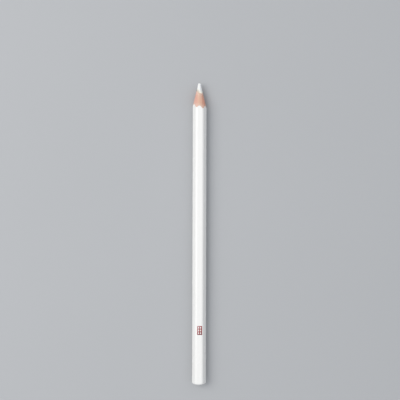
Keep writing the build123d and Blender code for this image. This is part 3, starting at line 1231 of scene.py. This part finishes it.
def build_foil():
    flat_points, triangles = foil_triangles()
    x, y = flat_points[:, 0], flat_points[:, 1]
    uses = {}
    for face in triangles:
        for a, b in zip(face, face[1:] + face[:1]):
            uses.setdefault((min(a, b), max(a, b)), []).append((a, b))
    rim = [edge[0] for edge in uses.values() if len(edge) == 1]
    rim_points = {a for edge in rim for a in edge}
    count = len(flat_points)
    on_rim = np.array([1.0 if i in rim_points else 0.0 for i in range(count)])
    surface = upper_surface(x) + axis_z
    ripple = 0.0015 * layered_noise(x * 3, y * 3, 0.0, octaves=2, seed=113)
    lift = mark_thick * (1 - 0.35 * on_rim) + ripple
    top = np.stack([x, y, surface + lift], -1)
    underside = np.stack([x, y, surface - FOIL_SUNK], -1)
    faces = triangles + [tuple(count + k for k in reversed(face)) for face in triangles]
    faces += [(b, a, count + a, count + b) for a, b in rim]
    make(
        "stitch_patch", "printed_mark", np.vstack([top, underside]), faces,
        [foil_mat], sharp_deg=40,
    )


build_lacquer()
build_primer()
build_wood("wood_half_upper", "casing_half_top", 1, upper_wood, seed=201)
build_wood("wood_half_lower", "casing_half_bottom", -1, lower_wood, seed=301)
build_bond("groove_glue_upper", "core_bond_top", 1)
build_bond("groove_glue_lower", "core_bond_bottom", -1)
build_seam("seam_line_right", "seam_glue_right", 0.0)
build_seam("seam_line_left", "seam_glue_left", PI)
build_core()
build_dip()
build_foil()

# ---------------------------------------------------------------------------
# Floor, light and camera, in metres
# ---------------------------------------------------------------------------


def build_floor(floor_z):
    """A round sweep: flat under the pencil, curving up far from it on every side."""
    turns = 96
    flat_r, bend_r = 1.5, 0.62
    sweep = [(r, 0.0) for r in (0.15, 0.4, 0.8, 1.2, flat_r)]  # (radius, height)
    for k in range(1, 21):
        angle = k * PI / 40
        sweep.append((flat_r + bend_r * math.sin(angle), bend_r * (1 - math.cos(angle))))
    verts = [(0.0, 0.0, floor_z)]
    for radius, height in sweep:
        for k in range(turns):
            angle = 2 * PI * k / turns
            verts.append((radius * math.cos(angle), radius * math.sin(angle), floor_z + height))
    faces = [(0, 1 + k, 1 + (k + 1) % turns) for k in range(turns)]
    for row in range(len(sweep) - 1):
        first = 1 + row * turns
        for k in range(turns):
            k2 = (k + 1) % turns
            faces.append((first + k, first + turns + k, first + turns + k2, first + k2))
    mesh = bpy.data.meshes.new("studio_floor")
    mesh.from_pydata(verts, [], faces)
    mesh.polygons.foreach_set("use_smooth", np.ones(len(mesh.polygons), bool))
    mesh.materials.append(floor_material())
    floor = bpy.data.objects.new("studio_floor", mesh)
    bpy.context.scene.collection.objects.link(floor)


def build_world():
    """A soft room, brighter overhead."""
    world = bpy.data.worlds.new("soft_room")
    bpy.context.scene.world = world
    world.use_nodes = True
    nodes, links = world.node_tree.nodes, world.node_tree.links
    background = nodes["Background"]
    coords = nodes.new("ShaderNodeTexCoord")
    split = nodes.new("ShaderNodeSeparateXYZ")
    links.new(coords.outputs["Generated"], split.inputs[0])
    ramp = nodes.new("ShaderNodeValToRGB")
    low, high = ramp.color_ramp.elements
    low.position = 0.0
    low.color = (0.66, 0.69, 0.73, 1)
    high.position = 0.75
    high.color = (0.98, 1.0, 1.03, 1)
    links.new(split.outputs["Z"], ramp.inputs[0])
    links.new(ramp.outputs[0], background.inputs["Color"])
    background.inputs["Strength"].default_value = 0.795


def build_key_light(centre):
    """A round lamp above the pencil, on its -X side, aimed at its middle."""
    lamp = bpy.data.lights.new("key", "AREA")
    lamp.shape = "DISK"
    lamp.size = 0.80
    lamp.energy = 5.3
    lamp.color = (1.0, 0.985, 0.96)
    place = Vector((centre.x - 0.58, centre.y + 0.16, 0.82))
    key = bpy.data.objects.new("key", lamp)
    key.location = place
    key.rotation_euler = (centre - place).to_track_quat("-Z", "Y").to_euler()
    bpy.context.scene.collection.objects.link(key)


def build_camera():
    """Straight above the pencil, its middle set towards -Y of the view."""
    view_width = 1.3267 * length * MM  # seen at the height of the axis
    view_offset = 0.113267 * length * MM
    lens = bpy.data.cameras.new("camera")
    lens.lens = 85.0
    lens.sensor_width = 36.0
    lens.clip_start = 0.01
    lens.clip_end = 20.0
    camera = bpy.data.objects.new("camera", lens)
    camera.location = (
        0.00034,
        (butt_y + length / 2) * MM + view_offset,
        axis_z * MM + view_width * lens.lens / lens.sensor_width,
    )
    camera.rotation_euler = (0.0, 0.0, math.radians(0.15))
    bpy.context.scene.collection.objects.link(camera)
    bpy.context.scene.camera = camera


lo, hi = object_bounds()
FLOOR_GAP = 0.00001
build_floor(lo.z - FLOOR_GAP)
build_world()
build_key_light((lo + hi) / 2)
build_camera()

bpy.context.scene.view_settings.view_transform = "Standard"
bpy.context.scene.view_settings.look = "None"
